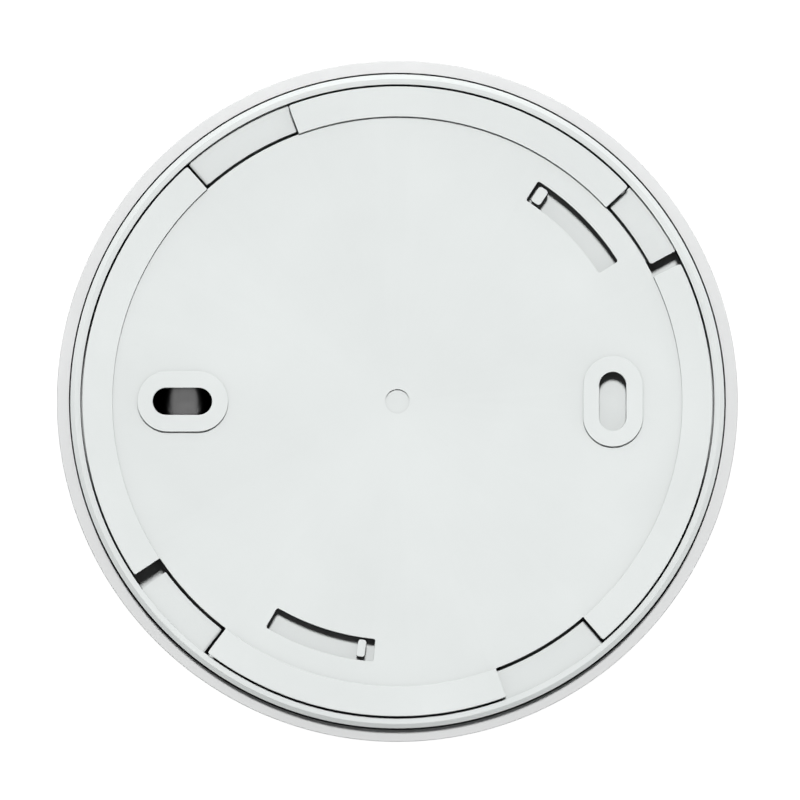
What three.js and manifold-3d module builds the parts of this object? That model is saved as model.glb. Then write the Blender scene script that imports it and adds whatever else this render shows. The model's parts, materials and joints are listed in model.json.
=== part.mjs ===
// Round battery smoke alarm on its bayonet mounting plate, in millimetres.
// +Z points at the ceiling, z = 0 is the plane where the mounting plate touches it, and the axis of
// the alarm is the Z axis. The alarm is shown locked on its plate. Turned clockwise as seen from the
// ceiling side it leaves the plate's ledges.
import * as THREE from "three";
import { mergeVertices, toCreasedNormals } from "three/addons/utils/BufferGeometryUtils.js";
import Module from "manifold-3d";

const wasm = await Module();
wasm.setup();

// ---- driving dimensions ----
const GAP = 0.3; // between pieces that touch in the real object
const ROUND = 60; // facets of the large circles
const FINE = 20; // facets of the small circles

const BODY_R = 47.7; // outside of the front cover
const FACE_Z = -41; // room-side face of the front cover
const COVER_TOP_Z = -2.6;
const COVER_WALL = 1.8;

const RING_TOP_Z = -0.8; // rear case rim
const RING_R = 45.7;
const RING_FLAT_R = 45.1;
const RING_IN_R = 44.35;
const SKIRT_Z = -14.6;

const PLATE_R = 44.05; // mounting plate
const RIM_IN_R = 39.85;
const RIM_Z = -1;
const DISC_Z = -0.4;
const DISC_UNDER_Z = -2;
const WALL_IN_R = 38.2;
const LEDGE_Z = [-3.5, -2.8];
const DIMPLE_R = 1.7;
const DIMPLE_DEPTH = 0.3;

const DECK_Z = -2.45; // floor of the rear case under the plate
const DECK_R = 37.8;
const FLOOR_T = 1.6;
const TROUGH_Z = -4.15; // floor of the rear case under the rim

const SCREW_SPACING = 60; // between the plate's two screw slots
const SLOT = [8.25, 3.8];
const BOSS = [12.6, 8.5];

// Each bayonet lug, the window it shows in and the ledge it rests on, as angles in degrees round +Z
// from +X. Turned back by 20 degrees, every lug is clear of every ledge.
const LUGS = [
  { lug: [28.4, 42.65], window: [25.9, 42.9], ledge: [29.4, 42.2] },
  { lug: [110.35, 131.35], window: [110.05, 131.75], ledge: [111.8, 130.9] },
  { lug: [216.45, 232.35], window: [213.5, 232.85], ledge: [217.5, 231.9] },
  { lug: [289.2, 310.35], window: [290.25, 310.75], ledge: [290.8, 309.9] },
];
const LUG_IN_R = 40.27;
const LUG_Z = [-2.5, -1.45];

const ARC_R = [33.4, 36.6]; // stop slots of the plate
const ARCS = [
  { span: [32.4, 57.4], post: { at: 55.3, r: 34.95, size: [2.4, 1.5] } },
  { span: [239.8, 264.7], post: { at: 261.7, r: 34.9, size: [2.4, 1.15] } },
];
const POST_TOP_Z = -0.6;

const CELL = { x: -29.8, z: -12.7, r: 8.5, y: [-15.9, 17.8] }; // the battery lies along Y
const BAY = { x: 9.1, y: 19.5, wall: 1.2, floor: -21.5 };

const COLUMNS = [110, 232, 345]; // where the case screws stand
const COLUMN_R = 35;
const PCB_COLUMNS = [60, 290];
const PCB_COLUMN_R = 37;

const PCB_Z = [-24.5, -22.9];
const PCB_R = 41;

const CHAMBER = { x: 20.2, y: 7.35, r: 15.2, z: [-36.8, -24.8] };
const HORN = { x: -19.2, y: -3.4, r: 15.2, z: [-36.8, -24.8] };
const SWITCH_Z = [-28, -24.8];
const PLUNGER_TIP_Z = -29.2;

const BUTTON_R = 11;
const INLETS = 60; // smoke openings round the side, one in each facet
const INLET = { width: 2.5, z: [-34.2, -26.2] };

// ---- geometry helpers ----
const rad = THREE.MathUtils.degToRad;
const polar = (r, degrees) => [r * Math.cos(rad(degrees)), r * Math.sin(rad(degrees))];

// A three.js geometry as a solid, turned the right way out.
function solid(geometry) {
  const source = geometry.index ? geometry.toNonIndexed() : geometry;
  const bare = new THREE.BufferGeometry();
  bare.setAttribute("position", source.getAttribute("position"));
  const merged = mergeVertices(bare, 1e-4);
  const triVerts = new Uint32Array(merged.index.array);
  const make = () =>
    new wasm.Manifold(
      new wasm.Mesh({ numProp: 3, vertProperties: merged.attributes.position.array, triVerts }),
    );
  const made = make();
  if (made.volume() > 0) {
    return made;
  }
  for (let i = 0; i < triVerts.length; i += 3) {
    [triVerts[i + 1], triVerts[i + 2]] = [triVerts[i + 2], triVerts[i + 1]];
  }
  return make();
}

const join = (first, ...rest) => rest.reduce((whole, piece) => whole.add(piece), first);
const cut = (first, ...rest) => rest.reduce((whole, piece) => whole.subtract(piece), first);

// A profile of [radius, height] points turned round the Z axis, starting and ending on it.
function turned(profile, facets = FINE) {
  const points = profile.map(([r, z]) => new THREE.Vector2(r, z));
  return solid(new THREE.LatheGeometry(points, facets).rotateX(Math.PI / 2));
}

// A profile that stays off the axis and closes on itself.
const hoop = (profile, facets = ROUND) => turned([...profile, profile[0]], facets);

const ring = (inner, outer, z0, z1, facets) =>
  hoop([[inner, z0], [outer, z0], [outer, z1], [inner, z1]], facets);

const rod = (r, z0, z1, facets = FINE) =>
  turned([[0, z0], [r, z0], [r, z1], [0, z1]], facets);

// A rod that stands at radius out from the alarm's axis, in the given direction.
const standing = (out, degrees, r, z0, z1, facets = 16) =>
  rod(r, z0, z1, facets).translate([...polar(out, degrees), 0]);

// A flat outline pulled from z0 up to z1, with rounded edges if bevel is given.
function pulled(shape, z0, z1, bevel = 0, curveSegments = 12) {
  const geometry = new THREE.ExtrudeGeometry(shape, {
    depth: z1 - z0 - 2 * bevel,
    bevelEnabled: bevel > 0,
    bevelSize: bevel,
    bevelOffset: -bevel,
    bevelThickness: bevel,
    bevelSegments: 2,
    curveSegments,
  });
  return solid(geometry.translate(0, 0, z0 + bevel));
}

function sectorShape(r0, r1, from, to) {
  const shape = new THREE.Shape();
  shape.absarc(0, 0, r1, rad(from), rad(to), false);
  shape.absarc(0, 0, r0, rad(to), rad(from), true);
  return shape;
}

const sector = (r0, r1, from, to, z0, z1) => pulled(sectorShape(r0, r1, from, to), z0, z1, 0, 6);

// A slot with round ends, long along X, or along Y if upright.
function stadium(x, y, [length, width], z0, z1, upright = false, bevel = 0) {
  const r = width / 2;
  const half = length / 2 - r;
  const shape = new THREE.Shape();
  shape.absarc(half, 0, r, -Math.PI / 2, Math.PI / 2, false);
  shape.absarc(-half, 0, r, Math.PI / 2, 1.5 * Math.PI, false);
  return pulled(shape, z0, z1, bevel, 8)
    .rotate([0, 0, upright ? 90 : 0])
    .translate([x, y, 0]);
}

// A box with its upright edges rounded by radius.
function block(sizeX, sizeY, z0, z1, radius = 0) {
  const [x, y] = [sizeX / 2, sizeY / 2];
  if (radius === 0) {
    return solid(new THREE.BoxGeometry(sizeX, sizeY, z1 - z0).translate(0, 0, (z0 + z1) / 2));
  }
  const shape = new THREE.Shape();
  shape.absarc(x - radius, y - radius, radius, 0, Math.PI / 2, false);
  shape.absarc(radius - x, y - radius, radius, Math.PI / 2, Math.PI, false);
  shape.absarc(radius - x, radius - y, radius, Math.PI, 1.5 * Math.PI, false);
  shape.absarc(x - radius, radius - y, radius, 1.5 * Math.PI, 2 * Math.PI, false);
  return pulled(shape, z0, z1, 0, 4);
}

const blockAt = (x, y, sizeX, sizeY, z0, z1, radius = 0) =>
  block(sizeX, sizeY, z0, z1, radius).translate([x, y, 0]);

// A round wire of radius r along a path of [x, y, z] points.
function wire(points, r, steps, halfSides) {
  const path = new THREE.CatmullRomCurve3(points.map((p) => new THREE.Vector3(...p)));
  const shape = new THREE.Shape();
  shape.absarc(0, 0, r, 0, 2 * Math.PI, false);
  return solid(
    new THREE.ExtrudeGeometry(shape, {
      steps,
      extrudePath: path,
      bevelEnabled: false,
      curveSegments: halfSides,
    }),
  );
}

// ---- looks ----
const look = (color, roughness, metalness = 0) => ({ color, roughness, metalness });
const WHITE_SHELL = look(0xe9eceb, 0.5);
const WHITE_COVER = look(0xf0f0ef, 0.45);
const CLEAR_WHITE = look(0xf7f7f2, 0.3);
const BUTTON_GREY = look(0xdfe2e2, 0.4);
const BLACK_PLASTIC = look(0x141516, 0.6);
const DARK_WRAP = look(0x26282b, 0.35);
const STEEL = look(0xb4b6b8, 0.35, 0.9);
const BRASS = look(0xc7a455, 0.35, 0.9);
const CERAMIC = look(0xd9d6cc, 0.5);
const BOARD_GREEN = look(0x1f5a3a, 0.5);
const ALUMINIUM = look(0xb9bcc0, 0.35, 0.9);
const TINTED = look(0x2b1f3a, 0.2);
const LED_BODY = look(0xf3f2e8, 0.3);

const alarm = new THREE.Group();
alarm.name = "smoke_alarm";

function add(name, body, { color, roughness, metalness }) {
  const mesh = body.getMesh();
  const stride = mesh.numProp;
  const positions = new Float32Array(mesh.numVert * 3);
  for (let i = 0; i < mesh.numVert; i += 1) {
    positions.set(mesh.vertProperties.subarray(i * stride, i * stride + 3), i * 3);
  }
  const geometry = new THREE.BufferGeometry();
  geometry.setAttribute("position", new THREE.BufferAttribute(positions, 3));
  geometry.setIndex(new THREE.BufferAttribute(mesh.triVerts, 1));
  const material = new THREE.MeshStandardMaterial({ color, roughness, metalness });
  const node = new THREE.Mesh(toCreasedNormals(geometry, rad(30)), material);
  node.name = name;
  alarm.add(node);
}

// ---- mounting plate: disc, raised rim, hidden wall and four ledges ----
const plateBlank = turned(
  [
    [0, DISC_UNDER_Z],
    [WALL_IN_R, DISC_UNDER_Z],
    [WALL_IN_R, LEDGE_Z[0]],
    [RIM_IN_R - 0.05, LEDGE_Z[0]],
    [RIM_IN_R - 0.05, RIM_Z],
    [PLATE_R, RIM_Z],
    [PLATE_R, -0.25],
    [PLATE_R - 0.25, 0],
    [RIM_IN_R + 0.1, 0],
    [RIM_IN_R, -0.1],
    [RIM_IN_R, DISC_Z],
    [0, DISC_Z],
  ],
  ROUND,
);
const dimple = rod(DIMPLE_R, DISC_Z - DIMPLE_DEPTH, 1);
const ledges = LUGS.map(({ ledge: [from, to] }) =>
  sector(RIM_IN_R - 0.4, PLATE_R - 0.2, from, to, ...LEDGE_Z),
);
const windows = LUGS.map(({ window: [from, to] }) =>
  sector(RIM_IN_R, PLATE_R + 1, from, to, RIM_Z - 0.5, 1),
);
const screwX = SCREW_SPACING / 2;
const bosses = [-1, 1].map((side) =>
  stadium(side * screwX, 0, BOSS, DISC_UNDER_Z, 0, side > 0, 0.2),
);
const screwSlots = [-1, 1].map((side) => stadium(side * screwX, 0, SLOT, -5, 1, side > 0));
const arcSlots = ARCS.map(({ span: [from, to] }) => sector(...ARC_R, from, to, -5, 1));
add(
  "mounting_plate",
  join(cut(join(plateBlank, ...bosses), ...windows, ...screwSlots, ...arcSlots, dimple), ...ledges),
  WHITE_SHELL,
);

// ---- rear case: rim, trough, deck, lugs, stop posts, screw sleeves and battery bay ----
const deckUnderZ = DECK_Z - FLOOR_T;
const troughUnderZ = TROUGH_Z - 1.5;
const skirtInR = RING_R - 1.5;
const shell = turned(
  [
    [0, deckUnderZ],
    [DECK_R - 1.6, deckUnderZ],
    [DECK_R - 1.6, troughUnderZ],
    [skirtInR, troughUnderZ],
    [skirtInR, SKIRT_Z],
    [RING_R, SKIRT_Z],
    [RING_R, RING_TOP_Z - 0.5],
    [RING_FLAT_R, RING_TOP_Z],
    [RING_IN_R, RING_TOP_Z],
    [RING_IN_R, TROUGH_Z],
    [DECK_R, TROUGH_Z],
    [DECK_R, DECK_Z],
    [0, DECK_Z],
  ],
  ROUND,
);
const lugs = LUGS.map(({ lug: [from, to] }) =>
  sector(LUG_IN_R, RING_IN_R + 0.6, from, to, ...LUG_Z),
);
const posts = ARCS.map(({ post: { at, r, size } }) =>
  block(...size, DECK_Z - 0.5, POST_TOP_Z, 0.45)
    .rotate([0, 0, at])
    .translate([...polar(r, at), 0]),
);
// The bay stays under the deck and under the trough, where the plate's ledges turn.
const bayRoom = join(
  rod(DECK_R, -30, -2, ROUND),
  rod(skirtInR + 0.5, -30, TROUGH_Z - 0.4, ROUND),
);
const bayOuter = blockAt(
  CELL.x,
  0,
  2 * (BAY.x + BAY.wall),
  2 * (BAY.y + BAY.wall),
  BAY.floor - 1,
  DECK_Z - 0.4,
  2.5,
).intersect(bayRoom);
// The cell is loaded from the ceiling side.
const bayInner = blockAt(CELL.x, 0, 2 * BAY.x, 2 * BAY.y, BAY.floor, 0, 1.5);
const tailSlots = [-1, 1].map((side) => blockAt(CELL.x, side * 19.1, 3, 1.1, -24, -21));
const sleeves = COLUMNS.map((at) => standing(COLUMN_R, at, 4, -7.5, deckUnderZ + 0.2));
const sleeveBores = COLUMNS.map((at) =>
  join(standing(COLUMN_R, at, 2.9, -5.9, 1), standing(COLUMN_R, at, 1.6, -9, -5)),
);
add(
  "rear_case",
  cut(join(shell, ...lugs, ...posts, ...sleeves, bayOuter), bayInner, ...tailSlots, ...sleeveBores),
  WHITE_SHELL,
);

// ---- front cover: rounded shell with smoke openings, screw columns and horn openings ----
const coverOutside = [
  [46, COVER_TOP_Z],
  [47.4, COVER_TOP_Z - 0.28],
  [BODY_R, COVER_TOP_Z - 0.8],
  [BODY_R, -6],
  [47.2, -18],
  [46.6, -26],
  [45.2, -34.4],
  [43, -37.8],
  [39.8, -40],
  [34, FACE_Z],
  [13.4, FACE_Z],
];
const coverInside = [
  [13.4, FACE_Z + COVER_WALL],
  [33.6, FACE_Z + COVER_WALL],
  [38.8, -38.4],
  [41.6, -36.6],
  [43.5, -34.2],
  [44.9, -26],
  [45.3, -15.4],
  [46, -15.1],
];
const coverShell = hoop([...coverOutside, ...coverInside]);
const inlets = Array.from({ length: INLETS }, (_, i) =>
  blockAt(45, 0, 8, INLET.width, ...INLET.z).rotate([0, 0, ((i + 0.5) * 360) / INLETS]),
);
const columnFootZ = FACE_Z + 1.4;
const caseColumns = COLUMNS.map((at) => standing(COLUMN_R, at, 3.4, columnFootZ, -7.9));
const caseColumnBores = COLUMNS.map((at) => standing(COLUMN_R, at, 1.6, -24, -5));
const pcbColumns = PCB_COLUMNS.map((at) =>
  standing(PCB_COLUMN_R, at, 2.8, columnFootZ, PCB_Z[0] - GAP),
);
const pcbColumnBores = PCB_COLUMNS.map((at) => standing(PCB_COLUMN_R, at, 1.3, -33, -20));
// Two rings of short slots let the horn sound out of the face.
const hornOpenings = [
  { r: 1.9, spans: [[15, 165], [195, 345]] },
  { r: 4.3, spans: [[8, 82], [98, 172], [188, 262], [278, 352]] },
].flatMap(({ r, spans }) =>
  spans.map(([from, to]) =>
    sector(r - 0.55, r + 0.55, from, to, FACE_Z - 1, FACE_Z + 3).translate([HORN.x, HORN.y, 0]),
  ),
);
add(
  "front_cover",
  cut(
    join(coverShell, ...caseColumns, ...pcbColumns),
    ...inlets,
    ...caseColumnBores,
    ...pcbColumnBores,
    ...hornOpenings,
  ),
  WHITE_COVER,
);

// ---- light ring and test button in the middle of the face ----
const lightRing = hoop([
  [BUTTON_R + 0.35, FACE_Z - 0.1],
  [12.8, FACE_Z - 0.1],
  [13.1, FACE_Z + 0.2],
  [13.1, FACE_Z + COVER_WALL + 0.3],
  [14.3, FACE_Z + COVER_WALL + 0.3],
  [14.3, FACE_Z + COVER_WALL + 1.1],
  [12.45, FACE_Z + COVER_WALL + 1.1],
  [12.45, FACE_Z + 1.2],
  [BUTTON_R + 0.35, FACE_Z + 1.2],
], 32);
// The light guide runs from the ring's flange to just short of the lamp on the board.
const guideAngle = 110;
const guideFoot = blockAt(13.3, 0, 1.6, 2.6, FACE_Z + COVER_WALL + 0.5, -36.9)
  .rotate([0, 0, guideAngle]);
const guide = standing(13.6, guideAngle, 1.3, -37.5, -27.2);
add("light_ring", join(lightRing, guideFoot, guide), CLEAR_WHITE);

const buttonCap = turned([
  [0, FACE_Z - 0.25],
  [8.5, FACE_Z - 0.35],
  [10.6, FACE_Z - 0.45],
  [BUTTON_R, FACE_Z - 0.1],
  [BUTTON_R, FACE_Z + 1.5],
  [12.1, FACE_Z + 1.5],
  [12.1, FACE_Z + 2.2],
  [9.8, FACE_Z + 2.2],
  [9.8, FACE_Z + 1.1],
  [0, FACE_Z + 1.1],
], 32);
const stemTopZ = PLUNGER_TIP_Z - GAP;
const stem = join(
  blockAt(0, 0, 4.2, 1.2, FACE_Z + 0.6, stemTopZ),
  blockAt(0, 0, 1.2, 4.2, FACE_Z + 0.6, stemTopZ),
);
add("test_button", join(buttonCap, stem), BUTTON_GREY);

// ---- switch under the button ----
const switchPins = [-1, 1].flatMap((sx) =>
  [-1, 1].map((sy) => blockAt(sx * 3.1, sy * 2.2, 0.7, 0.6, -27.2, SWITCH_Z[1])),
);
const switchBody = cut(
  join(block(6, 6, ...SWITCH_Z, 0.5), ...switchPins),
  rod(2.05, SWITCH_Z[0] - 1, SWITCH_Z[0] + 2),
);
add("tact_switch_body", switchBody, BLACK_PLASTIC);
add("tact_switch_plunger", rod(1.75, PLUNGER_TIP_Z, SWITCH_Z[0] + 0.9), BUTTON_GREY);

// ---- circuit board ----
const boardHoles = [
  ...COLUMNS.map((at) => standing(COLUMN_R, at, 3.9, -26, -20)),
  ...PCB_COLUMNS.map((at) => standing(PCB_COLUMN_R, at, 1.4, -26, -20)),
  ...[-1, 1].map((side) => blockAt(CELL.x, side * 19.1, 3, 1.1, -26, -20)),
];
add("pcb", cut(rod(PCB_R, ...PCB_Z, ROUND), ...boardHoles), BOARD_GREEN);

// ---- screws: pan head with a cross recess, plain shank ----
function screw(headR, headZ, shankR, tipZ) {
  const [under, top] = headZ;
  const turnedScrew = turned([
    [0, tipZ],
    [shankR * 0.35, tipZ],
    [shankR, tipZ + shankR * 1.4],
    [shankR, under],
    [headR, under],
    [headR, top - 0.5],
    [headR * 0.72, top],
    [0, top],
  ], 16);
  const arm = headR * 1.15;
  return cut(
    turnedScrew,
    block(arm, 0.5, top - 0.8, top + 1),
    block(0.5, arm, top - 0.8, top + 1),
  );
}

COLUMNS.forEach((at, i) => {
  const body = screw(2.55, [-5.6, -3.9], 1.3, -20).translate([...polar(COLUMN_R, at), 0]);
  add("case_screw_" + (i + 1), body, STEEL);
});
PCB_COLUMNS.forEach((at, i) => {
  const head = [PCB_Z[1] + GAP, PCB_Z[1] + GAP + 1.4];
  const body = screw(2.1, head, 1, -31).translate([...polar(PCB_COLUMN_R, at), 0]);
  add("pcb_screw_" + (i + 1), body, STEEL);
});

// ---- battery and its contacts ----
// A turned piece laid along Y, with its profile's height read as Y.
const laid = (body) => body.rotate([-90, 0, 0]).translate([CELL.x, 0, CELL.z]);
const [cellFrom, cellTo] = CELL.y;
add(
  "battery_can",
  laid(
    turned([
      [0, cellFrom],
      [CELL.r - 0.5, cellFrom],
      [CELL.r, cellFrom + 0.5],
      [CELL.r, cellTo - 0.5],
      [CELL.r - 0.5, cellTo],
      [5.2, cellTo],
      [5.2, cellTo - 1.2],
      [0, cellTo - 1.2],
    ], 32),
  ),
  DARK_WRAP,
);
add(
  "battery_gasket",
  laid(ring(3.7, 4.9, cellTo - 0.9, cellTo + 0.1, FINE)),
  BLACK_PLASTIC,
);
add(
  "battery_cap",
  laid(
    turned([
      [0, cellTo - 0.9],
      [3.4, cellTo - 0.9],
      [3.4, cellTo + 0.5],
      [3, cellTo + 0.8],
      [0, cellTo + 0.8],
    ]),
  ),
  STEEL,
);
const plusPlate = blockAt(CELL.x, 19.1, 11, 0.4, -18.5, -7.5);
const plusTail = blockAt(CELL.x, 19.1, 2.2, 0.4, -25.2, -18);
add("battery_contact_positive", join(plusPlate, plusTail), STEEL);

const minusPlate = blockAt(CELL.x, -19.1, 11, 0.4, -18.5, -7.5);
const minusTail = blockAt(CELL.x, -19.1, 2.2, 0.4, -25.2, -18);
const coilTurns = 2.25;
const coilPoints = Array.from({ length: 24 }, (_, i) => {
  const share = i / 23;
  const r = 4 - 1.6 * share;
  const turn = share * coilTurns * 2 * Math.PI;
  return [CELL.x + r * Math.cos(turn), -19.1 + share * 2.4, CELL.z + r * Math.sin(turn)];
});
add(
  "battery_contact_negative",
  join(minusPlate, minusTail, wire(coilPoints, 0.3, 32, 3)),
  STEEL,
);

// ---- optical smoke chamber ----
const atChamber = (body) => body.translate([CHAMBER.x, CHAMBER.y, 0]);
const [chamberFrontZ, chamberBackZ] = CHAMBER.z;
const EYES = [150, 270]; // directions of the infrared emitter and the photodiode
const eyeZ = -31;
const eyeR = 11.8;
// A part made along X from the chamber's axis, turned to the eye's direction.
const toEye = (body, at) => body.rotate([0, 0, at]);
const along = (body) => body.rotate([0, 90, 0]);
const holders = EYES.map((at) =>
  toEye(
    cut(
      blockAt(eyeR, 0, 5.6, 6.4, eyeZ - 3, chamberBackZ - 0.5),
      along(rod(1.9, eyeR - 4, eyeR + 1.4)).translate([0, 0, eyeZ]),
      along(rod(2.3, eyeR + 0.2, eyeR + 6)).translate([0, 0, eyeZ]),
      blockAt(eyeR + 2.6, 0, 1.6, 2.2, eyeZ, chamberBackZ - 1.2),
    ),
    at,
  ),
);
add(
  "chamber_base",
  atChamber(join(rod(CHAMBER.r, chamberBackZ - 1.2, chamberBackZ, 48), ...holders)),
  BLACK_PLASTIC,
);

const VANES = 18;
const vaneSlots = Array.from({ length: VANES }, (_, i) => (i * 360) / VANES);
const clearOfEyes = (angle) =>
  EYES.every((at) => Math.abs(((angle - at + 540) % 360) - 180) > 28);
// Each vane is bent, so that smoke passes it and light from outside doesn't.
const vaneShape = new THREE.Shape(
  [[14.6, 1.1], [12.7, -0.9], [11, 0.6], [11.4, 1.1], [12.6, 0.05], [14.1, 1.6]].map(
    ([x, y]) => new THREE.Vector2(x, y),
  ),
);
const vanes = vaneSlots
  .filter(clearOfEyes)
  .map((angle) => pulled(vaneShape, -35.9, -26.3).rotate([0, 0, angle]));
add(
  "chamber_cap",
  atChamber(join(rod(CHAMBER.r, chamberFrontZ, chamberFrontZ + 1.1, 48), ...vanes)),
  BLACK_PLASTIC,
);

const meshWindows = Array.from({ length: 24 }, (_, i) =>
  blockAt(15.8, 0, 2, 3.2, -35.6, -26).rotate([0, 0, (i + 0.5) * 15]),
);
add(
  "insect_screen",
  atChamber(cut(ring(15.5, 15.9, -36.4, -25.2, 24), ...meshWindows)),
  STEEL,
);

const eyeBody = () =>
  turned([
    [0, eyeR - 3],
    [0.8, eyeR - 2.8],
    [1.5, eyeR - 1.7],
    [1.5, eyeR + 0.7],
    [1.9, eyeR + 0.7],
    [1.9, eyeR + 1.5],
    [0, eyeR + 1.5],
  ], 20);
const eyeLegs = [-0.64, 0.64].map((y) =>
  join(
    blockAt(eyeR + 1.9, y, 1.4, 0.4, eyeZ - 0.2, eyeZ + 0.2),
    blockAt(eyeR + 2.4, y, 0.4, 0.4, eyeZ - 0.2, chamberBackZ - 1.5),
  ),
);
["ir_emitter", "photodiode"].forEach((name, i) => {
  const eye = join(along(eyeBody()).translate([0, 0, eyeZ]), ...eyeLegs);
  add(name, atChamber(toEye(eye, EYES[i])), i === 0 ? TINTED : BLACK_PLASTIC);
});

// ---- horn ----
const atHorn = (body) => body.translate([HORN.x, HORN.y, 0]);
const [hornFrontZ, hornBackZ] = HORN.z;
const hornNotches = [0, 90, 180, 270].map((at) =>
  blockAt(14.6, 0, 4, 8, -28.4, -24).rotate([0, 0, at + 45]),
);
add(
  "sounder_housing",
  atHorn(
    cut(
      hoop([
        [3, hornFrontZ],
        [HORN.r, hornFrontZ],
        [HORN.r, hornBackZ],
        [13.9, hornBackZ],
        [13.9, -32.9],
        [12.4, -32.9],
        [12.4, hornFrontZ + 1],
        [3, hornFrontZ + 1],
      ], 32),
      ...hornNotches,
    ),
  ),
  BLACK_PLASTIC,
);
add("piezo_plate", atHorn(rod(13.5, -32.6, -32.3, 48)), BRASS);
add("piezo_ceramic", atHorn(rod(9.5, -32, -31.75, 40)), CERAMIC);
[[-13.2, 0, -32], [-6, 3, -31.45], [2, -6, -31.45]].forEach(([x, y, tipZ], i) => {
  const leaf = new THREE.Shape(
    [[0, -24.8], [3.2, -24.8], [3.2, -25.2], [0.6, -25.2], [2.7, tipZ + 0.3], [1.5, tipZ],
      [1.2, tipZ + 0.35], [2.1, tipZ + 0.6]].map(([px, pz]) => new THREE.Vector2(px, pz)),
  );
  const bent = pulled(leaf, -0.9, 0.9).rotate([90, 0, 0]).translate([x, y, 0]);
  add("horn_contact_" + (i + 1), atHorn(bent), STEEL);
});

// ---- other parts of the board ----
const backZ = PCB_Z[1] + GAP;
add(
  "status_led",
  join(
    blockAt(...polar(13.6, guideAngle), 3.2, 2.8, -26.1, PCB_Z[0] - GAP, 0.3),
    standing(13.6, guideAngle, 0.9, -26.5, -25.5),
  ),
  LED_BODY,
);

const chipLegs = (sizeX, sizeY, count, pitch) =>
  [-1, 1].flatMap((side) =>
    Array.from({ length: count }, (_, i) =>
      blockAt((i - (count - 1) / 2) * pitch, side * (sizeY / 2 + 0.4), 0.4, 1.2, 0.1, 0.5),
    ),
  );
const chip = (sizeX, sizeY, height, count, pitch) =>
  join(block(sizeX, sizeY, 0.1, height), ...chipLegs(sizeX, sizeY, count, pitch));
add("microcontroller", chip(9, 5.4, 1.6, 7, 1.1).translate([4, -8, backZ]), BLACK_PLASTIC);
add("horn_driver", chip(5, 3.9, 1.5, 4, 1.1).translate([-6, 12, backZ]), BLACK_PLASTIC);

const bobbin = [[1.2, 0], [4, 0], [4, 1], [2.9, 1.2], [2.9, 5.4], [4, 5.6], [4, 6.6], [1.2, 6.6]];
add("boost_inductor", hoop(bobbin, FINE).translate([8, 16, backZ]), BLACK_PLASTIC);

const CANS = [
  { x: -8, y: -20, r: 3.15, h: 8 },
  { x: 0, y: -22, r: 2.5, h: 7 },
];
CANS.forEach(({ x, y, r, h }, i) => {
  const profile = [
    [0, 0],
    [r, 0],
    [r, 0.9],
    [r - 0.25, 1.3],
    [r, 1.7],
    [r, h - 0.3],
    [r - 0.3, h],
    [0, h],
  ];
  add("capacitor_" + (i + 1), turned(profile).translate([x, y, backZ]), ALUMINIUM);
});

add(
  "amplifier_shield",
  cut(block(13, 10, 0, 3, 0.6), block(12.4, 9.4, -1, 2.7, 0.3)).translate([22, -6, backZ]),
  STEEL,
);
add("crystal", stadium(0, 0, [11, 4.6], 0, 3.4, true).translate([-8, -3, backZ]), STEEL);

export default alarm;
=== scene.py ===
"""Battery smoke alarm on its bayonet plate, seen from the ceiling side on a pale floor.

Shapes are made in millimetres in the part's frame and scaled to metres when each piece is finished.
Angles are in degrees. z is 0 where the plate touches the ceiling and falls towards the room.
"""

import json
import math

import bmesh
import bpy
from mathutils import Matrix, Vector


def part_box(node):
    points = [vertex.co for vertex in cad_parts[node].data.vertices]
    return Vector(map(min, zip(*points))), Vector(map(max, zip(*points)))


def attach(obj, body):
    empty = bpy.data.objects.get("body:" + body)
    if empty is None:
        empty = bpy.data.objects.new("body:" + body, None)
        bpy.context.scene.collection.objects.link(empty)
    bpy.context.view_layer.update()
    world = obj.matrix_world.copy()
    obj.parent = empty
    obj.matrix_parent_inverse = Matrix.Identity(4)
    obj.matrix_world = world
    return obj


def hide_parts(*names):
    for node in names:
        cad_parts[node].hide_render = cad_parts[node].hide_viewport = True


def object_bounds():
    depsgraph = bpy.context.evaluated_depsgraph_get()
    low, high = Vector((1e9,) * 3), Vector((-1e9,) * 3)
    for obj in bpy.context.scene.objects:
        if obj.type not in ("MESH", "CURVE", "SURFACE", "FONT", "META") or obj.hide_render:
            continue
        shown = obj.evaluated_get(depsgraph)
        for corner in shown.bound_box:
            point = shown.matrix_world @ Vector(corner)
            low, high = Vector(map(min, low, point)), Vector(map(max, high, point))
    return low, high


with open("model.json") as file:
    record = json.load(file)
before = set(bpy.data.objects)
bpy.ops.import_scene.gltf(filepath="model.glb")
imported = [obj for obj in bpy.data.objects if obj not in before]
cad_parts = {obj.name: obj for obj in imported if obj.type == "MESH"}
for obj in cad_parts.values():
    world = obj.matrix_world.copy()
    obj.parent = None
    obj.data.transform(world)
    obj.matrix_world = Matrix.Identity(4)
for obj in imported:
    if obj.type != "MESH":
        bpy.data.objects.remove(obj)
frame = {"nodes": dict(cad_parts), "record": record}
cad_box = [list(corner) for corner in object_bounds()]

MM = 0.001
TURN = 288  # facets of a full turn on the large circles
SHARP_FROM = math.radians(38)  # an edge between faces that meet at more than this stays sharp
THROUGH = 1.0  # how far a cutter reaches past the surface that it comes out of
scene = bpy.context.scene

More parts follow.
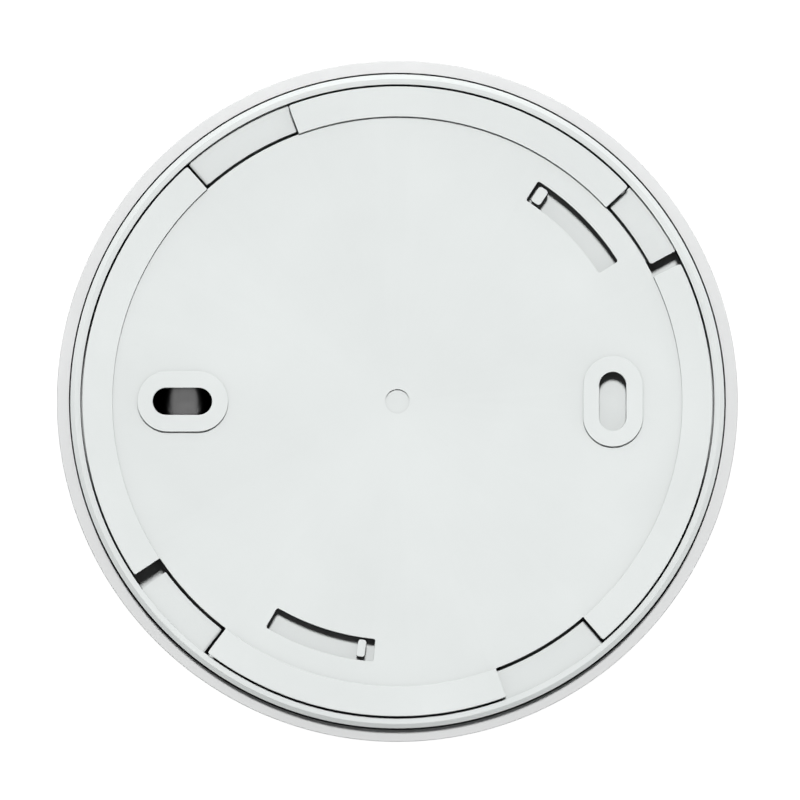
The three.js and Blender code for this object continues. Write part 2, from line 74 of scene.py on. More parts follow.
# ---- mounting plate ----
PLATE_R, RIM_IN_R = 44.05, 39.85
DISC_Z, DISC_UNDER_Z, RIM_UNDER_Z = -0.44, -2, -1
HOOP_IN_R, HOOP_R = 38.2, 39.8
LEDGE_LOW_Z, LEDGE_TOP_Z = -3.5, -2.8
LEDGE_IN_R, LEDGE_R = 39.45, 43.85
LEDGE_SPANS = [(29.4, 42.2), (111.8, 130.9), (217.5, 231.9), (290.8, 309.9)]
WINDOW_SPANS = [(25.9, 42.9), (110.2, 131.85), (213.45, 232.95), (290.25, 310.75)]
WINDOW_OUT_R, WINDOW_FLARE = 46, 0.3
ARC_SPANS = [(32.4, 57.4), (239.8, 264.7)]
ARC_IN_R, ARC_R = 33.4, 36.58
BOSSES = [(-30.03, 12.75, 8.5, False), (30.17, 12.7, 8.4, True)]  # x, length, width, upright
SCREW_SLOTS = [(-30.07, 8.32, 3.8, False), (30.13, 8.25, 3.8, True)]
BOSS_FOOT_Z = -1.9
DIMPLE_R, DIMPLE_Z = 1.7, -0.7

# ---- rear case ----
DECK_R, DECK_Z, DECK_UNDER_R, DECK_UNDER_Z = 37.8, -2.45, 36.2, -4.05
TROUGH_Z, TROUGH_UNDER_Z = -4.15, -5.65
RING_IN_R, RING_FLAT_R, RING_R, RING_TOP_Z, RING_CHAMFER = 44.35, 45.14, 45.77, -0.8, 0.5
SKIRT_IN_R, SKIRT_Z = 44.2, -14.6
LUG_SPANS = [(28.4, 42.65), (110.35, 131.4), (216.35, 232.4), (289.2, 310.35)]
LUG_LEAD_INS = (0, 0.5, 0.5, 0)  # how far the high end of each lug slopes
LUG_IN_R, LUG_R, LUG_LOW_Z, LUG_TOP_Z = 40.27, 44.95, -2.5, -1.45
STOPS = [(34.95, 55.3, 1.5, 0.42), (34.9, 261.72, 1.14, 0.35)]  # radius, angle, width, corner
STOP_LENGTH, STOP_FOOT_Z, STOP_TOP_Z = 2.4, -2.95, -0.6
CASE_SCREWS, CASE_SCREW_R = (110, 232, 345), 35
CELL_X, CELL_Z, CELL_R = -29.8, -12.7, 8.5
BAY_LOW_Z, BAY_FLOOR_Z = -22.5, -21.5
CONTACT_Y = 19.1

# ---- front cover, light ring and test button ----
FACE_Z, FACE_IN_Z, FACE_HOLE_R = -41, -39.2, 13.4
COVER_TOP_Z, COVER_IN_R, COVER_R = -2.62, 45.98, 47.7
WALL_R, WALL_Z = (45.2, 46.6), (-34.4, -26)  # the sloping wall that the smoke openings cut
INLETS, INLET_WIDTH, INLET_LOW_Z, INLET_HIGH_Z = 60, 2.5, -34.2, -26.2
BOARD_SCREWS, BOARD_SCREW_R = (60, 290), 37
COLUMNS = [  # angles, distance from the axis, radius, top, bore's radius, its low and high ends
    (CASE_SCREWS, CASE_SCREW_R, 3.4, -7.9, 1.6, -24, -5),
    (BOARD_SCREWS, BOARD_SCREW_R, 2.8, -24.8, 1.3, -33, -20),
]
HORN_X, HORN_Y, HORN_SLOT = -19.2, -3.4, 1.1
HORN_ARCS = [
    (1.9, ((15, 165), (195, 345))),
    (4.3, ((8, 82), (98, 172), (188, 262), (278, 352))),
]
GUIDE_AT, GUIDE_R = 110, 1.3

# ---- camera ----
VIEW_WIDTH, PLATE_TOP = 111.92 * MM, -0.4 * MM  # what the frame spans, at the plate's disc
AIM = (0.3707 * MM, 0.1889 * MM)


# ---- outlines and solids, in millimetres ----
def polar(radius, degrees):
    angle = math.radians(degrees)
    return radius * math.cos(angle), radius * math.sin(angle)


def between(start, end, count):
    """count + 1 values, evenly spaced."""
    return [start + (end - start) * k / count for k in range(count + 1)]


def rounded(points, closed=False, segments=4):
    """A polyline with its corners rounded. A point is (x, y) or (x, y, radius of its corner)."""
    out = []
    count = len(points)
    for i, point in enumerate(points):
        here = Vector(point[:2])
        radius = point[2] if len(point) > 2 else 0
        inner = closed or 0 < i < count - 1
        if not radius or not inner:
            out.append(tuple(here))
            continue
        before = Vector(points[i - 1][:2]) - here
        after = Vector(points[(i + 1) % count][:2]) - here
        half = before.angle(after) / 2
        before.normalize()
        after.normalize()
        start = here + before * (radius / math.tan(half))
        end = here + after * (radius / math.tan(half))
        middle = here + (before + after).normalized() * (radius / math.sin(half))
        arm = start - middle
        side = 1 if arm.cross(end - middle) > 0 else -1
        for turn in between(0, side * (math.pi - 2 * half), segments):
            x = middle.x + arm.x * math.cos(turn) - arm.y * math.sin(turn)
            y = middle.y + arm.x * math.sin(turn) + arm.y * math.cos(turn)
            out.append((x, y))
    return out


def mesh_of(verts, faces):
    """A mesh with its faces turned outwards."""
    mesh = bpy.data.meshes.new("shape")
    mesh.from_pydata(verts, [], faces)
    bm = bmesh.new()
    bm.from_mesh(mesh)
    bmesh.ops.recalc_face_normals(bm, faces=bm.faces)
    bm.to_mesh(mesh)
    bm.free()
    return mesh


def lathe(profile, steps=TURN, closed=False, at=(0, 0), segments=4):
    """A (radius, z, corner radius) profile turned round an upright axis."""
    rings, verts = [], []
    for radius, z in rounded(profile, closed, segments):
        if radius < 1e-9:
            rings.append([len(verts)] * steps)
            verts.append((at[0], at[1], z))
            continue
        rings.append(list(range(len(verts), len(verts) + steps)))
        for k in range(steps):
            x, y = polar(radius, 360 * k / steps)
            verts.append((x + at[0], y + at[1], z))
    faces = []
    for low, high in zip(rings, rings[1:] + (rings[:1] if closed else [])):
        for k in range(steps):
            n = (k + 1) % steps
            face = list(dict.fromkeys([low[k], low[n], high[n], high[k]]))
            if len(face) > 2:
                faces.append(face)
    return mesh_of(verts, faces)


def rod(radius, z0, z1, steps, at=(0, 0), low_edge=0, top_edge=0):
    """An upright round bar with its ends' edges rounded."""
    return lathe([(0, z0), (radius, z0, low_edge), (radius, z1, top_edge), (0, z1)], steps, at=at)


def loft(rings):
    """A solid through rings of 3-D points, closed by a flat face at each end."""
    count = len(rings[0])
    verts = [point for ring in rings for point in ring]
    faces = [list(range(count)), list(range(len(verts) - count, len(verts)))]
    for level in range(len(rings) - 1):
        base = level * count
        for k in range(count):
            n = (k + 1) % count
            faces.append([base + k, base + n, base + count + n, base + count + k])
    return mesh_of(verts, faces)


def grown(outline, amount):
    """A closed outline, anticlockwise, moved outwards."""
    out = []
    count = len(outline)
    for i in range(count):
        a, b, c = (Vector(outline[(i + d) % count]) for d in (-1, 0, 1))
        one = Vector(((b - a).y, -(b - a).x)).normalized()
        two = Vector(((c - b).y, -(c - b).x)).normalized()
        miter = (one + two).normalized()
        move = amount / max(0.5, miter.dot(one))
        out.append((b.x + miter.x * move, b.y + miter.y * move))
    return out


def flat(outline, z):
    return [(x, y, z) for x, y in outline]


def quarter(radius, segments=4):
    """(offset, height) pairs round a quarter circle, from upright to level."""
    turns = between(0, math.pi / 2, segments)
    return [(radius * (1 - math.cos(t)), radius * math.sin(t)) for t in turns]


def post(outline, z0, z1, edge):
    """An upright solid with its top edge rounded."""
    rings = [flat(outline, z0)]
    rings += [flat(grown(outline, -out), z1 - edge + up) for out, up in quarter(edge)]
    return loft(rings)


def cutter(outline, z0, surface, edge):
    """A cutter that leaves a rounded edge where it comes out through a surface."""
    rings = [flat(outline, z0)]
    rings += [flat(grown(outline, out), surface - edge + up) for out, up in quarter(edge)]
    rings.append(flat(grown(outline, edge), surface + THROUGH))
    return loft(rings)


def block(outline, z0, z1):
    return loft([flat(outline, z0), flat(outline, z1)])


def stadium(cx, length, width, upright=False, segments=20):
    """A slot's outline, centred at (cx, 0)."""
    radius = width / 2
    half = length / 2 - radius
    points = []
    for sign in (1, -1):
        for t in between(-math.pi / 2, math.pi / 2, segments):
            points.append((sign * (half + radius * math.cos(t)), sign * radius * math.sin(t)))
    if upright:
        points = [(-y, x) for x, y in points]
    return [(x + cx, y) for x, y in points]


def sector(r0, r1, a0, a1, corner=0.0, pitch=1.2, count=None):
    """The outline of a ring sector, anticlockwise, with its four corners rounded."""
    turns = between(a0, a1, count or max(4, math.ceil((a1 - a0) / pitch)))
    outer = [polar(r1, t) for t in turns]
    inner = [polar(r0, t) for t in reversed(turns)]
    for arc in (outer, inner):
        arc[0] = (*arc[0], corner)
        arc[-1] = (*arc[-1], corner)
    return rounded(outer + inner, closed=True)


def rectangle(cx, cy, size_x, size_y, corner=0.0, turn=0.0):
    x, y = size_x / 2, size_y / 2
    points = [(-x, -y, corner), (x, -y, corner), (x, y, corner), (-x, y, corner)]
    c, s = polar(1, turn)
    outline = rounded(points, closed=True, segments=6)
    return [(cx + px * c - py * s, cy + px * s + py * c) for px, py in outline]


def together(meshes):
    """Several solids that don't touch, as one mesh."""
    verts, faces = [], []
    for mesh in meshes:
        start = len(verts)
        verts += [tuple(v.co) for v in mesh.vertices]
        faces += [[start + i for i in p.vertices] for p in mesh.polygons]
    joined = bpy.data.meshes.new("shape")
    joined.from_pydata(verts, [], faces)
    return joined


def combine(base, *steps):
    """base with meshes added ("+") or cut away ("-"), in order."""
    holder = bpy.data.objects.new("holder", base)
    scene.collection.objects.link(holder)
    tools = []
    for sign, meshes in steps:
        tool = bpy.data.objects.new("tool", together(meshes))
        scene.collection.objects.link(tool)
        tools.append(tool)
        step = holder.modifiers.new("step", "BOOLEAN")
        step.object = tool
        step.operation = "UNION" if sign == "+" else "DIFFERENCE"
        step.solver = "MANIFOLD"
    bpy.context.view_layer.update()
    graph = bpy.context.evaluated_depsgraph_get()
    result = bpy.data.meshes.new_from_object(holder.evaluated_get(graph))
    for thing in [holder, *tools]:
        bpy.data.objects.remove(thing)
    return result


def piece(name, mesh, material, body, node):
    """Finishes a mesh in millimetres as the piece that replaces a CAD node."""
    obj = bpy.data.objects.new(name, mesh)
    scene.collection.objects.link(obj)
    mesh.transform(Matrix.Scale(MM, 4))
    mesh.shade_smooth()
    mesh.set_sharp_from_angle(angle=SHARP_FROM)
    mesh.materials.clear()
    mesh.materials.append(material)
    normals = obj.modifiers.new("normals", "WEIGHTED_NORMAL")
    normals.mode = "FACE_AREA"
    normals.weight = 100
    normals.keep_sharp = True
    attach(obj, body)
    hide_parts(node)


# ---- the pieces' shapes ----
def window_outline(a0, a1, inner, side):
    """A window of the rim, between two angles. It flares where it meets the rim's outer edge."""
    turns = between(0, math.pi / 2, 5)
    flares = [(WINDOW_FLARE * (1 - math.sin(t)), WINDOW_FLARE * (1 - math.cos(t))) for t in turns]
    sides = [(PLATE_R - back, out + side) for back, out in flares]
    sides.append((WINDOW_OUT_R, WINDOW_FLARE + side))
    turns = between(a0, a1, 18)[1:-1]

    def at(radius, out, degrees):
        return polar(radius, degrees + math.degrees(out / radius))

    points = [at(r, -out, a0) for r, out in sides]
    points += [polar(WINDOW_OUT_R, t) for t in turns]
    points += [at(r, out, a1) for r, out in reversed(sides)]
    points.append((*at(inner, side, a1), 0.15))
    points += [polar(inner, t) for t in reversed(turns)]
    points.append((*at(inner, -side, a0), 0.15))
    return rounded(points, closed=True)


def window_cutter(a0, a1):
    """Cuts a window, and rounds its edges at the disc and at the rim's top."""
    edge = 0.06
    inner = RIM_IN_R - 0.03
    levels = [(DISC_Z - 1.06, 0, 0), (DISC_Z - edge, 0, 0)]
    levels += [(DISC_Z - edge + up, 0, out) for out, up in quarter(edge)[1:]]
    levels += [(-edge + up, out, edge) for out, up in quarter(edge)]
    levels.append((THROUGH, edge, edge))
    return loft([flat(window_outline(a0, a1, inner - back, side), z) for z, side, back in levels])


def mounting_plate():
    disc = lathe(
        [
            (0, DISC_UNDER_Z),
            (HOOP_IN_R, DISC_UNDER_Z, 0.2),
            (HOOP_IN_R, LEDGE_LOW_Z, 0.15),
            (HOOP_R, LEDGE_LOW_Z, 0.15),
            (HOOP_R, RIM_UNDER_Z),
            (PLATE_R, RIM_UNDER_Z, 0.08),
            (PLATE_R, 0, 0.1),
            (RIM_IN_R, 0, 0.05),
            (RIM_IN_R, DISC_Z, 0.04),
            (0, DISC_Z),
        ]
    )
    bosses = [
        post(stadium(x, length, width, upright), BOSS_FOOT_Z, 0, 0.08)
        for x, length, width, upright in BOSSES
    ]
    below = LEDGE_LOW_Z - 1.5
    screw_slots = [
        cutter(stadium(x, length, width, upright), below, 0, 0.07)
        for x, length, width, upright in SCREW_SLOTS
    ]
    arc_slots = [
        cutter(sector(ARC_IN_R, ARC_R, *span, 0.3), below, DISC_Z, 0.06) for span in ARC_SPANS
    ]
    dimple = rod(DIMPLE_R, DIMPLE_Z, THROUGH, 96)
    ledges = [
        block(sector(LEDGE_IN_R, LEDGE_R, *span, 0.3), LEDGE_LOW_Z, LEDGE_TOP_Z)
        for span in LEDGE_SPANS
    ]
    return combine(
        disc,
        ("+", bosses),
        ("-", [window_cutter(*span) for span in WINDOW_SPANS]),
        ("-", screw_slots + arc_slots + [dimple]),
        ("+", ledges),
    )


def lug(a0, a1, lead_in):
    """A bayonet lug; lead_in is how far its high end slopes."""
    if not lead_in:
        return post(sector(LUG_IN_R, LUG_R, a0, a1, 0.4), LUG_LOW_Z, LUG_TOP_Z, 0.04)
    levels = [(LUG_LOW_Z, a1), (LUG_TOP_Z - 0.24, a1), (LUG_TOP_Z, a1 - lead_in)]
    return loft([flat(sector(LUG_IN_R, LUG_R, a0, end, 0.2, count=18), z) for z, end in levels])


def bay_walls():
    """The battery bay's outside, kept to what lies below the deck and the trough."""
    room = combine(
        rod(DECK_R, -30, DECK_Z + 0.45, TURN),
        ("+", [rod(RING_IN_R + 0.35, -29.9, TROUGH_Z - 0.4, TURN)]),
    )
    elsewhere = combine(rod(80, -40, 5, 64), ("-", [room]))
    walls = block(rectangle(CELL_X, 0, 20.6, 41.4, 2.5), BAY_LOW_Z, DECK_Z - 0.4)
    return combine(walls, ("-", [elsewhere]))


def rear_case():
    shell = lathe(
        [
            (0, DECK_UNDER_Z),
            (DECK_UNDER_R, DECK_UNDER_Z, 0.3),
            (DECK_UNDER_R, TROUGH_UNDER_Z, 0.3),
            (SKIRT_IN_R, TROUGH_UNDER_Z, 0.5),
            (SKIRT_IN_R, SKIRT_Z, 0.2),
            (RING_R, SKIRT_Z, 0.3),
            (RING_R, RING_TOP_Z - RING_CHAMFER, 0.1),
            (RING_FLAT_R, RING_TOP_Z, 0.2),
            (RING_IN_R, RING_TOP_Z, 0.05),
            (RING_IN_R, TROUGH_Z, 0.3),
            (DECK_R, TROUGH_Z, 0.3),
            (DECK_R, DECK_Z, 0.2),
            (0, DECK_Z),
        ],
        segments=6,
    )
    lugs = [lug(*span, lead_in) for span, lead_in in zip(LUG_SPANS, LUG_LEAD_INS)]
    stops = []
    for radius, at, width, corner in STOPS:
        outline = rectangle(*polar(radius, at), STOP_LENGTH, width, corner, at)
        stops.append(post(outline, STOP_FOOT_Z, STOP_TOP_Z, 0.06))
    places = [polar(CASE_SCREW_R, at) for at in CASE_SCREWS]
    sleeves = [rod(4, -7.5, -3.85, 48, place, low_edge=0.3) for place in places]
    counterbore = [(0, -9), (1.6, -9), (1.6, -5.9), (2.9, -5.9, 0.2), (2.9, THROUGH), (0, THROUGH)]
    screw_holes = [lathe(counterbore, 48, at=place) for place in places]
    bay_room = block(rectangle(CELL_X, 0, 18.2, 39, 1.5), BAY_FLOOR_Z, 0)
    tail_slots = [
        block(rectangle(CELL_X, side * CONTACT_Y, 3, 1.1), BAY_LOW_Z - 1.5, BAY_FLOOR_Z + 0.5)
        for side in (-1, 1)
    ]
    return combine(
        shell,
        ("+", lugs + stops),
        ("+", sleeves),
        ("+", [bay_walls()]),
        ("-", [bay_room]),
        ("-", tail_slots + screw_holes),
    )


def inlet(at):
    """A cutter for one smoke opening in the sloping wall, with a rounded outer edge."""
    edge = 0.18
    c, s = polar(1, at)
    slope = (WALL_R[1] - WALL_R[0]) / (WALL_Z[1] - WALL_Z[0])
    shape = stadium(0, INLET_HIGH_Z - INLET_LOW_Z, INLET_WIDTH, segments=8)
    levels = [(-4.5, 0), *((-edge + up, out) for out, up in quarter(edge, 3)), (2, edge)]
    rings = []
    for depth, out in levels:
        ring = []
        for up, side in grown(shape, out):
            z = (INLET_LOW_Z + INLET_HIGH_Z) / 2 + up
            radius = WALL_R[0] + slope * (z - WALL_Z[0]) + depth
            ring.append((radius * c - side * s, radius * s + side * c, z))
        rings.append(ring)
    return loft(rings)


def horn_slot(radius, a0, a1):
    """A cutter for one arc of the horn's opening, with a rounded edge on the face."""
    edge = 0.15
    arc = sector(radius - HORN_SLOT / 2, radius + HORN_SLOT / 2, a0, a1, 0.5, pitch=6)
    outline = [(x + HORN_X, y + HORN_Y) for x, y in arc]
    rings = [flat(grown(outline, edge), FACE_Z - THROUGH)]
    for out, up in reversed(quarter(edge, 3)):
        rings.append(flat(grown(outline, out), FACE_Z + edge - up))
    rings.append(flat(outline, FACE_Z + 3))
    return loft(rings)


def front_cover():
    outside = [
        (COVER_IN_R, COVER_TOP_Z, 0.06),
        (COVER_R - 0.08, COVER_TOP_Z - 0.3, 0.08),
        (COVER_R, COVER_TOP_Z - 0.8, 0.2),
        (COVER_R, -6),
        (47.5, -12),
        (47.2, -18),
        (46.95, -22),
        (WALL_R[1], WALL_Z[1]),
        (WALL_R[0], WALL_Z[0]),
        (44.35, -36.6),
        (43, -38.25),
        (41.2, -39.5),
        (38.6, -40.45),
        (35.6, -40.95),
        (34, FACE_Z),
        (FACE_HOLE_R, FACE_Z, 0.25),
    ]
    inside = [
        (FACE_HOLE_R, FACE_IN_Z, 0.1),
        (33.6, FACE_IN_Z),
        (38.8, -38.4),
        (41.6, -36.6),
        (43.5, -34.2),
        (44.9, WALL_Z[1]),
        (45.3, -15.4),
        (COVER_IN_R, -15.1),
    ]
    shell = lathe(outside + inside, 360, closed=True)
    columns, bores = [], []
    for turns, distance, radius, top, bore_r, bore_low, bore_high in COLUMNS:
        for place in [polar(distance, at) for at in turns]:
            columns.append(rod(radius, FACE_IN_Z - 0.4, top, 40, place, top_edge=0.3))
            bores.append(rod(bore_r, bore_low, bore_high, 32, place))
    horn_slots = [horn_slot(radius, *span) for radius, spans in HORN_ARCS for span in spans]
    inlets = [inlet(360 / INLETS * (k + 0.5)) for k in range(INLETS)]
    return combine(shell, ("+", columns), ("-", inlets), ("-", bores + horn_slots))


def light_ring():
    ring = lathe(
        [
            (11.35, FACE_Z - 0.1, 0.08),
            (13.1, FACE_Z - 0.1, 0.25),
            (13.1, FACE_Z + 2.1),
            (14.3, FACE_Z + 2.1, 0.1),
            (14.3, FACE_Z + 2.9, 0.1),
            (12.45, FACE_Z + 2.9, 0.1),
            (12.45, FACE_Z + 1.2),
            (11.35, FACE_Z + 1.2, 0.1),
        ],
        192,
        closed=True,
    )
    guide = rod(GUIDE_R, -37.5, -27.2, 40, polar(13.6, GUIDE_AT), top_edge=0.2)
    foot_outline = rectangle(*polar(13.3, GUIDE_AT), 1.6, 2 * GUIDE_R, turn=GUIDE_AT)
    foot = block(foot_outline, FACE_Z + 2.3, -36.9)
    return combine(ring, ("+", [foot]), ("+", [guide]))


def test_button():
    """A dished cap with a raised rim, and the cross-shaped stem that works the switch."""
    cap = lathe(
        [
            (0, -41.25),
            (3, -41.262),
            (6, -41.3),
            (8.5, -41.36),
            (9.9, -41.45),
            (10.5, -41.42),
            (10.85, -41.28),
            (11, -41),
            (11, -39.5),
            (12.1, -39.5, 0.1),
            (12.1, -38.8, 0.1),
            (9.8, -38.8),
            (9.8, -39.9),
            (0, -39.9),
        ],
        160,
    )
    long, short = 2.1, 0.6
    quadrant = [(long, -short), (long, short), (short, short)]
    stem = []
    for c, s in ((1, 0), (0, 1), (-1, 0), (0, -1)):
        stem += [(x * c - y * s, x * s + y * c) for x, y in quadrant]
    return combine(cap, ("+", [block(stem, -40.4, -29.5)]))


def battery_can():
    """The wrapped can, laid along Y between its CAD solid's ends, with a recess at its + end."""
    low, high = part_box("battery_can")
    start, end = low.y / MM, high.y / MM
    recess_r, recess_floor = 5.2, end - 1.2
    can = lathe(
        [
            (0, start),
            (CELL_R, start, 0.5),
            (CELL_R, end, 0.6),
            (recess_r, end, 0.1),
            (recess_r, recess_floor, 0.1),
            (0, recess_floor),
        ],
        128,
    )
    laid_down = Matrix.Rotation(math.radians(-90), 4, "X")
    can.transform(Matrix.Translation((CELL_X, 0, CELL_Z)) @ laid_down)
    return can


# ---- materials ----
def set_inputs(node, values):
    for key, value in values.items():
        node.inputs[key].default_value = value


class Look:
    """A Principled material in object space, with a coordinate in millimetres."""

    def __init__(self, name, roughness=0.5, metallic=0.0, **fixed):
        self.material = bpy.data.materials.new(name)
        self.material.use_nodes = True
        self.tree = self.material.node_tree
        self.tree.nodes.clear()
        output = self.tree.nodes.new("ShaderNodeOutputMaterial")
        self.shader = self.tree.nodes.new("ShaderNodeBsdfPrincipled")
        self.link(self.shader.outputs[0], output.inputs[0])
        set_inputs(self.shader, {"Roughness": roughness, "Metallic": metallic})
        set_inputs(self.shader, {key.replace("_", " "): value for key, value in fixed.items()})
        coordinates = self.add("ShaderNodeTexCoord")
        scaled = self.add("ShaderNodeVectorMath", operation="SCALE")
        self.link(coordinates.outputs["Object"], scaled.inputs[0])
        set_inputs(scaled, {"Scale": 1 / MM})
        self.mm = scaled.outputs[0]
        self.geometry = self.add("ShaderNodeNewGeometry")

    def add(self, kind, **settings):
        node = self.tree.nodes.new(kind)
        for key, value in settings.items():
            setattr(node, key, value)
        return node

    def link(self, source, target):
        self.tree.links.new(source, target)

    def stretched(self, x, y, z):
        node = self.add("ShaderNodeVectorMath", operation="MULTIPLY")
        self.link(self.mm, node.inputs[0])
        node.inputs[1].default_value = (x, y, z)
        return node.outputs[0]

    def noise(self, per_mm, detail=3.0, rough=0.5, vector=None):
        node = self.add("ShaderNodeTexNoise")
        self.link(vector or self.mm, node.inputs["Vector"])
        set_inputs(node, {"Scale": per_mm, "Detail": detail, "Roughness": rough})
        return node.outputs[0]

    def ranged(self, value, low, high, out_low, out_high, interpolation="LINEAR"):
        node = self.add("ShaderNodeMapRange", interpolation_type=interpolation)
        self.link(value, node.inputs["Value"])
        set_inputs(node, {"From Min": low, "From Max": high, "To Min": out_low, "To Max": out_high})
        return node.outputs[0]

    def blend(self, factor, one, two):
        """A colour between one and two, each a colour or a socket."""
        node = self.add("ShaderNodeMix", data_type="RGBA")
        self.link(factor, node.inputs[0])
        for socket, colour in ((node.inputs[6], one), (node.inputs[7], two)):
            if isinstance(colour, tuple):
                socket.default_value = (*colour, 1)
            else:
                self.link(colour, socket)
        return node.outputs[2]

    def colour(self, socket):
        self.link(socket, self.shader.inputs["Base Color"])

    def roughness(self, socket):
        self.link(socket, self.shader.inputs["Roughness"])

    def bump(self, height, strength, distance_mm):
        node = self.add("ShaderNodeBump")
        self.link(height, node.inputs["Height"])
        set_inputs(node, {"Strength": strength, "Distance": distance_mm * MM})
        self.link(node.outputs[0], self.shader.inputs["Normal"])


def linear(red, green, blue):
    """An sRGB colour out of 255 in linear light."""
    return tuple(
        c / 255 / 12.92 if c <= 10 else ((c / 255 + 0.055) / 1.055) ** 2.4 for c in (red, green, blue)
    )


def shade(colour, factor):
    return tuple(min(1.0, c * factor) for c in colour)


def moulded(name, colour, roughness, grain=0.12, drift=0.02, wear=0.04, painted_crevice_shade=0.0, **fixed):
    """Moulded plastic: drifting tone, spark-eroded grain, rubbed edges, and painted shade that
    darkens its corners, gaps and recesses.
    """
    look = Look(name, roughness, **fixed)
    slow = look.ranged(look.noise(0.045, 2.0), 0.35, 0.65, 0.0, 1.0)
    tone = look.blend(slow, shade(colour, 1 - drift), shade(colour, 1 + drift))
    specks = look.ranged(look.noise(1.7, 5.0, 0.7), 0.28, 0.42, 0.05, 0.0)
    tone = look.blend(specks, tone, shade(colour, 0.72))
    rub = look.ranged(look.geometry.outputs["Pointiness"], 0.505, 0.56, 0.0, wear)
    tone = look.blend(rub, tone, shade(colour, 1.12))
    if painted_crevice_shade:
        # painted shade: ambient occlusion darkens the colour towards near-black in corners, gaps and
        # recesses
        corner = look.add("ShaderNodeAmbientOcclusion", samples=8)
        set_inputs(corner, {"Distance": 3.5 * MM})
        depth = look.ranged(corner.outputs["AO"], 0.25, 1.0, painted_crevice_shade, 0.0)
        tone = look.blend(depth, tone, shade(colour, 0.12))
    look.colour(tone)
    polish = look.noise(0.6, 4.0, 0.6)
    look.roughness(look.ranged(polish, 0.3, 0.7, roughness - 0.06, roughness + 0.07))
    look.bump(look.noise(7.0, 4.0, 0.6), grain, 0.02)
    return look.material


def metal(name, colour, roughness, stretch=(0.3, 6, 0.3), dull=0.5):
    """Plated or rolled metal: fine lines one way, and dull patches."""
    look = Look(name, roughness, metallic=1.0)
    lines = look.noise(2.5, 4.0, 0.7, look.stretched(*stretch))
    patches = look.ranged(look.noise(0.25, 3.0), 0.35, 0.7, 0.0, 1.0)
    drawn = look.ranged(lines, 0.3, 0.7, 0, 1)
    tone = look.blend(drawn, shade(colour, 0.86), shade(colour, 1.06))
    dullness = look.ranged(patches, 0, 1, 0, dull * 0.5)
    look.colour(look.blend(dullness, tone, shade(colour, 0.7)))
    look.roughness(look.ranged(patches, 0, 1, roughness, roughness + 0.18))
    look.bump(lines, 0.15, 0.01)
    return look.material


def silvered_ceramic():
    look = Look("silvered_ceramic", 0.5)
    mottle = look.noise(1.2, 5.0, 0.65)
    pale = look.ranged(mottle, 0.3, 0.7, 0, 1)
    look.colour(look.blend(pale, linear(206, 203, 194), linear(228, 226, 219)))
    look.roughness(look.ranged(mottle, 0.3, 0.7, 0.34, 0.6))
    look.bump(look.noise(5, 3), 0.2, 0.02)
    return look.material


def solder_mask():
    """Green lacquer over copper tracks, with the weave showing through in patches."""
    look = Look("solder_mask_board", 0.35, Coat_Weight=0.3)
    tracks = look.add("ShaderNodeTexBrick", offset=0.37, squash=1.6, offset_frequency=3)
    look.link(look.mm, tracks.inputs["Vector"])
    set_inputs(tracks, {"Scale": 0.55, "Mortar Size": 0.09, "Brick Width": 3.1, "Row Height": 0.9})
    set_inputs(
        tracks,
        {
            "Color1": (0.010, 0.095, 0.040, 1),
            "Color2": (0.012, 0.105, 0.046, 1),
            "Mortar": (0.022, 0.190, 0.080, 1),
        },
    )
    weave = look.ranged(look.noise(2.2, 3.0), 0.3, 0.7, 0.0, 0.35)
    look.colour(look.blend(weave, tracks.outputs["Color"], (0.02, 0.14, 0.06)))
    look.roughness(look.ranged(look.noise(0.5, 3.0), 0.3, 0.7, 0.28, 0.42))
    look.bump(tracks.outputs["Fac"], 0.3, 0.03)
    return look.material


def battery_wrap():
    """Glossy dark metallic wrap, reflective only in a painted highlight band along the can's top,
    with faint lines and handling marks.
    """
    look = Look("battery_wrap_film", 0.16, metallic=1.0)
    place = look.add("ShaderNodeSeparateXYZ")
    look.link(look.mm, place.inputs[0])
    across = look.add("ShaderNodeMath", operation="SUBTRACT")
    look.link(place.outputs[0], across.inputs[0])
    across.inputs[1].default_value = CELL_X
    distance = look.add("ShaderNodeMath", operation="ABSOLUTE")
    look.link(across.outputs[0], distance.inputs[0])
    # painted highlight: only a strip along the top of the can reflects, so the overhead reflection
    # shows there and nowhere else
    highlight_band = look.ranged(distance.outputs[0], 1.25, 3.0, 1.0, 0.0, "SMOOTHSTEP")
    drawn = look.noise(3.0, 4.0, 0.6, look.stretched(1, 0.06, 1))
    lines = look.ranged(drawn, 0.3, 0.7, 0, 1)
    highlight_tone = look.blend(lines, (0.135, 0.135, 0.136), (0.155, 0.155, 0.155))
    marks = look.ranged(look.noise(0.5, 5.0, 0.7), 0.5, 0.75, 0.0, 0.3)
    highlight_tone = look.blend(marks, highlight_tone, (0.11, 0.108, 0.106))
    look.colour(look.blend(highlight_band, (0.006, 0.006, 0.0065), highlight_tone))
    look.roughness(look.ranged(look.noise(0.7, 3.0), 0.3, 0.7, 0.17, 0.23))
    look.bump(drawn, 0.05, 0.005)
    return look.material


